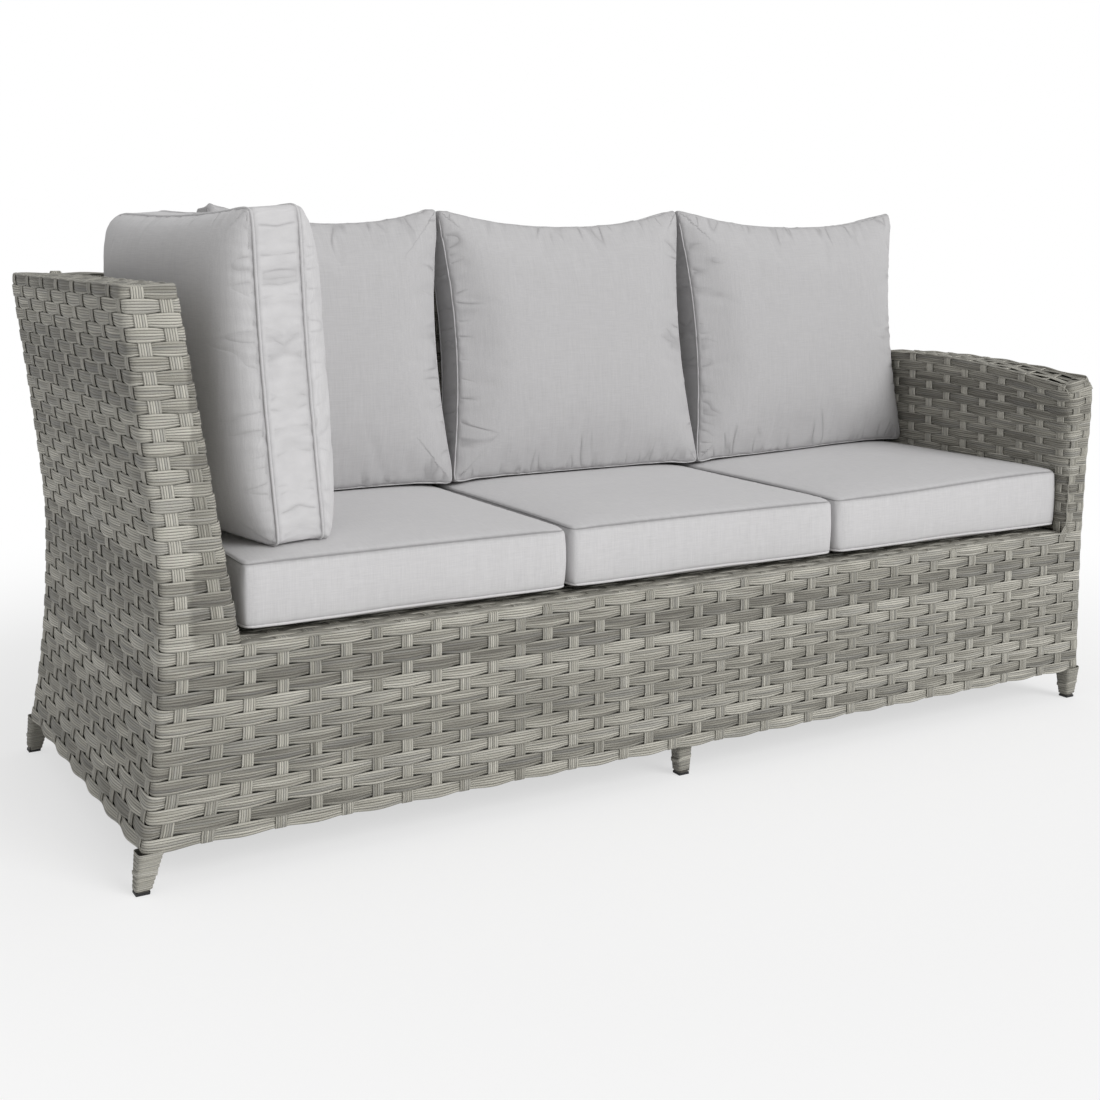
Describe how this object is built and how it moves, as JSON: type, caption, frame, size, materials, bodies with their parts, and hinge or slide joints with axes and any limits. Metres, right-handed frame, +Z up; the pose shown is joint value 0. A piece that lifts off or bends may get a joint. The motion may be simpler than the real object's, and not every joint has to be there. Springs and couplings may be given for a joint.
{
  "type": "rattan garden sofa",
  "caption": "Woven rattan-look garden sofa with a tall slanted end panel, a low arched arm, a full-length base and loose seat, back and side cushions.",
  "frame": {"origin": "on the floor, under the middle of the sofa's outside length and depth", "axes": "+X along the seat from the tall end panel to the low arm, +Y from the front to the back, +Z up"},
  "size_m": [1.941, 0.73, 0.9836],
  "materials": {
    "rattan": "flat grooved synthetic rattan strips in mixed warm greys, plain weave",
    "frame": "matt dark grey-brown powder coat",
    "linen": "light grey linen-look cover with piped seams",
    "foot_cap": "matt black moulded plastic"
  },
  "bodies": {
    "sofa_frame": {"front_left_post": "frame", "rear_left_post": "frame", "front_right_post": "frame", "rear_right_post": "frame", "end_front_stile": "frame", "corner_stile": "frame", "back_middle_stile": "frame", "back_right_stile": "frame", "arm_front_stile": "frame", "end_outer_top_rail": "frame", "end_inner_top_rail": "frame", "back_outer_top_rail": "frame", "back_inner_top_rail": "frame", "arm_outer_top_rail": "frame", "arm_inner_top_rail": "frame", "front_seat_rail": "frame", "rear_seat_rail": "frame", "left_seat_rail": "frame", "right_seat_rail": "frame", "seat_back_bar": "frame", "centre_cross_bar": "frame", "front_base_rail": "frame", "rear_base_rail": "frame", "left_base_rail": "frame", "right_base_rail": "frame", "front_left_leg_binding": "rattan", "front_left_foot_cap": "foot_cap", "rear_left_leg_binding": "rattan", "rear_left_foot_cap": "foot_cap", "front_right_leg_binding": "rattan", "front_right_foot_cap": "foot_cap", "rear_right_leg_binding": "rattan", "rear_right_foot_cap": "foot_cap", "front_centre_leg_binding": "rattan", "front_centre_foot_cap": "foot_cap", "rear_centre_leg_binding": "rattan", "rear_centre_foot_cap": "foot_cap", "front_centre_leg": "frame", "rear_centre_leg": "frame", "front_weave": "rattan", "end_front_weave": "rattan", "arm_front_weave": "rattan", "end_outer_weave": "rattan", "end_inner_weave": "rattan", "end_top_weave": "rattan", "back_outer_weave": "rattan", "back_inner_weave": "rattan", "back_end_weave": "rattan", "back_top_weave": "rattan", "arm_outer_weave": "rattan", "arm_inner_weave": "rattan", "arm_top_weave": "rattan", "seat_deck": "rattan"},
    "left_seat_cushion": {"left_seat_cushion": "linen"},
    "middle_seat_cushion": {"middle_seat_cushion": "linen"},
    "right_seat_cushion": {"right_seat_cushion": "linen"},
    "side_cushion": {"side_cushion": "linen"},
    "left_back_cushion": {"left_back_cushion": "linen"},
    "middle_back_cushion": {"middle_back_cushion": "linen"},
    "right_back_cushion": {"right_back_cushion": "linen"}
  },
  "joints": [
    {"name": "left_seat_cushion_lift", "type": "slide", "parent": "sofa_frame", "child": "left_seat_cushion", "axis": [0, 0, 1], "range_m": [0, 0.65]},
    {"name": "middle_seat_cushion_lift", "type": "slide", "parent": "sofa_frame", "child": "middle_seat_cushion", "axis": [0, 0, 1], "range_m": [0, 0.65]},
    {"name": "right_seat_cushion_lift", "type": "slide", "parent": "sofa_frame", "child": "right_seat_cushion", "axis": [0, 0, 1], "range_m": [0, 0.65]},
    {"name": "left_back_cushion_lift", "type": "slide", "parent": "left_seat_cushion", "child": "left_back_cushion", "axis": [0, 0, 1], "range_m": [0, 0.52]},
    {"name": "middle_back_cushion_lift", "type": "slide", "parent": "middle_seat_cushion", "child": "middle_back_cushion", "axis": [0, 0, 1], "range_m": [0, 0.52]},
    {"name": "right_back_cushion_lift", "type": "slide", "parent": "right_seat_cushion", "child": "right_back_cushion", "axis": [0, 0, 1], "range_m": [0, 0.52]},
    {"name": "side_cushion_lift", "type": "slide", "parent": "left_seat_cushion", "child": "side_cushion", "axis": [-0.0761, -0.0099, 0.9971], "range_m": [0, 0.52]}
  ]
}
